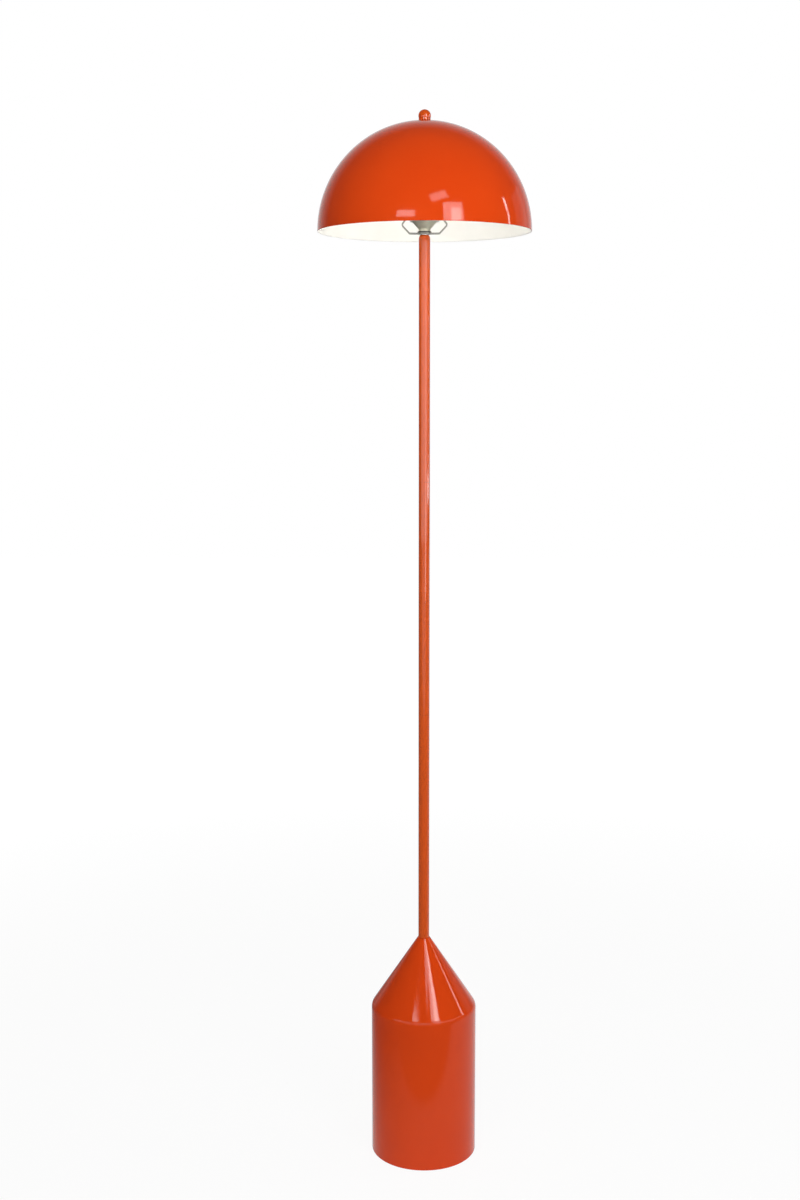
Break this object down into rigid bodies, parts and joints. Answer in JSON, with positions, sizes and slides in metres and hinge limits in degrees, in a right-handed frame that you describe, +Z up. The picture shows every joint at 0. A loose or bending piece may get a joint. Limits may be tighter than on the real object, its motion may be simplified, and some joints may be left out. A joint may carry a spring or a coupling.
{
  "type": "mushroom floor lamp",
  "caption": "Floor lamp with a domed metal shade on a slim straight pole, standing on a weighted cylindrical base with a conical top.",
  "frame": {"origin": "on the floor, under the middle of the base", "axes": "+Z up the pole; the harp's wire lies in the XZ plane; the cable inlet is at the back, +Y"},
  "size_m": [0.3, 0.3, 1.5244],
  "materials": {
    "orange_paint": "gloss",
    "zinc_steel": "satin",
    "nickel": "satin",
    "brass": "satin",
    "cast_cement": "matte",
    "pad_rubber": "matte",
    "clear_rubber": "satin",
    "inlet_plastic": "satin",
    "holder_ceramic": "gloss",
    "holder_plastic": "satin",
    "opal_glass": "satin",
    "cap_aluminium": "satin",
    "cap_insulator": "gloss"
  },
  "bodies": {
    "stand": {"base_shell": "orange_paint", "lower_pole": "orange_paint", "middle_pole": "orange_paint", "upper_pole": "orange_paint", "pole_top_plug": "orange_paint", "neck_bush": "zinc_steel", "base_plate": "zinc_steel", "base_plate_screws": "zinc_steel", "tie_rod": "zinc_steel", "tie_rod_washers": "zinc_steel", "tie_rod_nuts": "zinc_steel", "pole_end_inserts": "zinc_steel", "pole_joint_nipples": "zinc_steel", "holder_nipple": "zinc_steel", "neck_washer": "nickel", "harp_saddle": "nickel", "saddle_lock_nut": "nickel", "holder_cap": "nickel", "holder_screw_shell": "brass", "holder_contact": "brass", "holder_terminal_screws": "brass", "base_ballast": "cast_cement", "foot_pad": "pad_rubber", "cable_inlet_bush": "inlet_plastic", "holder_insulator": "holder_ceramic", "holder_skirt": "holder_plastic"},
    "harp": {"harp_frame": "nickel", "harp_top_disc": "nickel", "harp_top_stud": "zinc_steel", "shade_seat_washer": "clear_rubber"},
    "left_sleeve": {"left_sleeve": "nickel"},
    "right_sleeve": {"right_sleeve": "nickel"},
    "bulb": {"bulb_glass": "opal_glass", "bulb_cap": "cap_aluminium", "bulb_insulator": "cap_insulator", "bulb_tip_contact": "cap_aluminium"},
    "shade": {"shade": "orange_paint"},
    "finial_washer": {"finial_washer": "orange_paint"},
    "finial": {"finial": "orange_paint", "finial_insert": "brass"}
  },
  "joints": [
    {"name": "harp_lift", "type": "slide", "parent": "stand", "child": "harp", "axis": [0, 0, 1], "range_m": [0, 0.03]},
    {"name": "left_sleeve_slide", "type": "slide", "parent": "harp", "child": "left_sleeve", "axis": [0, 0, 1], "range_m": [0, 0.012]},
    {"name": "right_sleeve_slide", "type": "slide", "parent": "harp", "child": "right_sleeve", "axis": [0, 0, 1], "range_m": [0, 0.012]},
    {"name": "bulb_out", "type": "slide", "parent": "stand", "child": "bulb", "axis": [0, 0, 1], "range_m": [0, 0.025]},
    {"name": "shade_lift", "type": "slide", "parent": "harp", "child": "shade", "axis": [0, 0, 1], "range_m": [0, 0.18]},
    {"name": "finial_rise", "type": "slide", "parent": "shade", "child": "finial_washer", "axis": [0, 0, 1], "range_m": [0, 0.008]},
    {"name": "finial_turn", "type": "hinge", "parent": "finial_washer", "child": "finial", "pos_m": [0, 0, 1.516], "axis": [0, 0, 1], "range_deg": [0, 2880]}
  ],
  "couplings": [
    {"joint": "finial_rise", "follows": "finial_turn", "m_per_rad": 0.00015915}
  ]
}
